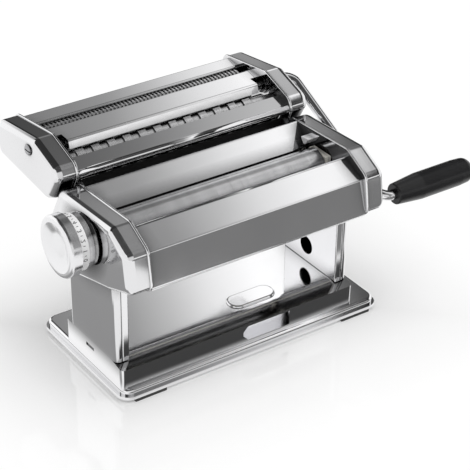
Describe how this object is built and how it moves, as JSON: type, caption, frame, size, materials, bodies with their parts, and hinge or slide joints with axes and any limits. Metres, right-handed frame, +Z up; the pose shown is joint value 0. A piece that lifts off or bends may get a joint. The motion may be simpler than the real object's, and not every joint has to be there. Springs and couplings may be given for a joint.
{
  "type": "pasta roller machine",
  "caption": "Hand-cranked table pasta machine with smooth dough rollers, a thickness knob and a lift-off head of grooved noodle cutters on a pedestal base.",
  "frame": {"origin": "on the table, below the middle of the part seen from above", "axes": "+X towards the crank along the rollers, +Y towards the cutter head at the back, +Z up"},
  "size_m": [0.3434, 0.1892, 0.167],
  "materials": {
    "chromed_steel": "polished",
    "satin_steel": "satin",
    "plain_steel": "oiled",
    "roller_metal": "anodised satin",
    "grip_plastic": "moulded",
    "comb_plastic": "moulded",
    "foot_rubber": "matte",
    "band_plastic": "smooth",
    "bearing_plastic": "moulded",
    "guide_plastic": "smooth",
    "scraper_plastic": "moulded"
  },
  "bodies": {
    "frame": {"adjust_scraper": "scraper_plastic", "base_tray": "chromed_steel", "drive_scraper": "scraper_plastic", "drive_socket_ring": "chromed_steel", "foot_front_left": "foot_rubber", "foot_front_right": "foot_rubber", "foot_rear_left": "foot_rubber", "foot_rear_right": "foot_rubber", "front_plate": "chromed_steel", "front_rod": "plain_steel", "knob_base_ring": "chromed_steel", "left_bush": "bearing_plastic", "left_cover": "chromed_steel", "left_guide": "guide_plastic", "left_leg": "chromed_steel", "left_rail": "plain_steel", "left_side_plate": "satin_steel", "pedestal": "chromed_steel", "rear_plate": "chromed_steel", "rear_rod": "plain_steel", "right_bush": "bearing_plastic", "right_cover": "chromed_steel", "right_guide": "guide_plastic", "right_leg": "chromed_steel", "right_rail": "plain_steel", "right_side_plate": "satin_steel"},
    "drive_roller": {"drive_roller": "roller_metal", "drive_gear": "plain_steel"},
    "knob_shaft": {"knob_shaft": "plain_steel"},
    "knob": {"thickness_knob": "chromed_steel", "number_band": "band_plastic"},
    "carriage": {"left_block": "bearing_plastic", "right_block": "bearing_plastic", "carriage_bar": "bearing_plastic"},
    "adjust_roller": {"adjust_roller": "roller_metal", "adjust_gear": "plain_steel"},
    "wide_drive": {"wide_drive_roll": "roller_metal", "wide_drive_gear": "plain_steel"},
    "wide_idle": {"wide_idle_roll": "roller_metal", "wide_idle_gear": "plain_steel"},
    "narrow_drive": {"narrow_drive_roll": "roller_metal", "narrow_drive_gear": "plain_steel"},
    "narrow_idle": {"narrow_idle_roll": "roller_metal", "narrow_idle_gear": "plain_steel"},
    "crank": {"crank_rod": "chromed_steel"},
    "grip": {"crank_grip": "grip_plastic"},
    "cutter": {"cutter_cover_screw": "chromed_steel", "cutter_front_rail": "chromed_steel", "cutter_left_cover": "chromed_steel", "cutter_left_plate": "satin_steel", "cutter_mid_plate": "chromed_steel", "cutter_rear_plate": "chromed_steel", "cutter_right_cover": "chromed_steel", "cutter_right_plate": "satin_steel", "cutter_rod_mid": "plain_steel", "cutter_rod_rear": "plain_steel", "left_hook": "plain_steel", "narrow_comb": "comb_plastic", "right_hook": "plain_steel", "wide_comb": "comb_plastic"}
  },
  "joints": [
    {"name": "drive_spin", "type": "hinge", "parent": "frame", "child": "drive_roller", "pos_m": [-0.04025, -0.00643, 0.1213], "axis": [1, 0, 0], "continuous": true},
    {"name": "knob_turn", "type": "hinge", "parent": "frame", "child": "knob_shaft", "pos_m": [-0.15025, -0.03413, 0.1213], "axis": [1, 0, 0], "range_deg": [0, 180]},
    {"name": "carriage_slide", "type": "slide", "parent": "frame", "child": "carriage", "axis": [0, 1, 0], "range_m": [0, 0.0042]},
    {"name": "adjust_spin", "type": "hinge", "parent": "carriage", "child": "adjust_roller", "pos_m": [-0.04025, -0.03623, 0.1213], "axis": [1, 0, 0], "continuous": true},
    {"name": "knob_pull", "type": "slide", "parent": "knob_shaft", "child": "knob", "axis": [-1, 0, 0], "range_m": [0, 0.004]},
    {"name": "cutter_lift", "type": "slide", "parent": "frame", "child": "cutter", "axis": [0, -0.4831, 0.8756], "range_m": [0, 0.05]},
    {"name": "wide_spin", "type": "hinge", "parent": "cutter", "child": "wide_drive", "pos_m": [-0.04025, 0.03087, 0.144], "axis": [1, 0, 0], "continuous": true},
    {"name": "wide_idle_spin", "type": "hinge", "parent": "cutter", "child": "wide_idle", "pos_m": [-0.04025, 0.01547, 0.144], "axis": [1, 0, 0], "continuous": true},
    {"name": "narrow_spin", "type": "hinge", "parent": "cutter", "child": "narrow_drive", "pos_m": [-0.04025, 0.04887, 0.1496], "axis": [1, 0, 0], "continuous": true},
    {"name": "narrow_idle_spin", "type": "hinge", "parent": "cutter", "child": "narrow_idle", "pos_m": [-0.04025, 0.06427, 0.1496], "axis": [1, 0, 0], "continuous": true},
    {"name": "crank_pull", "type": "slide", "parent": "narrow_drive", "child": "crank", "axis": [1, 0, 0], "range_m": [0, 0.02]},
    {"name": "grip_spin", "type": "hinge", "parent": "crank", "child": "grip", "pos_m": [0.12975, -0.06738, 0.0939], "axis": [1, 0, 0], "continuous": true}
  ],
  "couplings": [
    {"joint": "adjust_spin", "follows": "drive_spin", "ratio": -1},
    {"joint": "carriage_slide", "follows": "knob_turn", "m_per_rad": 0.0013369},
    {"joint": "wide_idle_spin", "follows": "wide_spin", "ratio": -1},
    {"joint": "narrow_idle_spin", "follows": "narrow_spin", "ratio": -1}
  ]
}
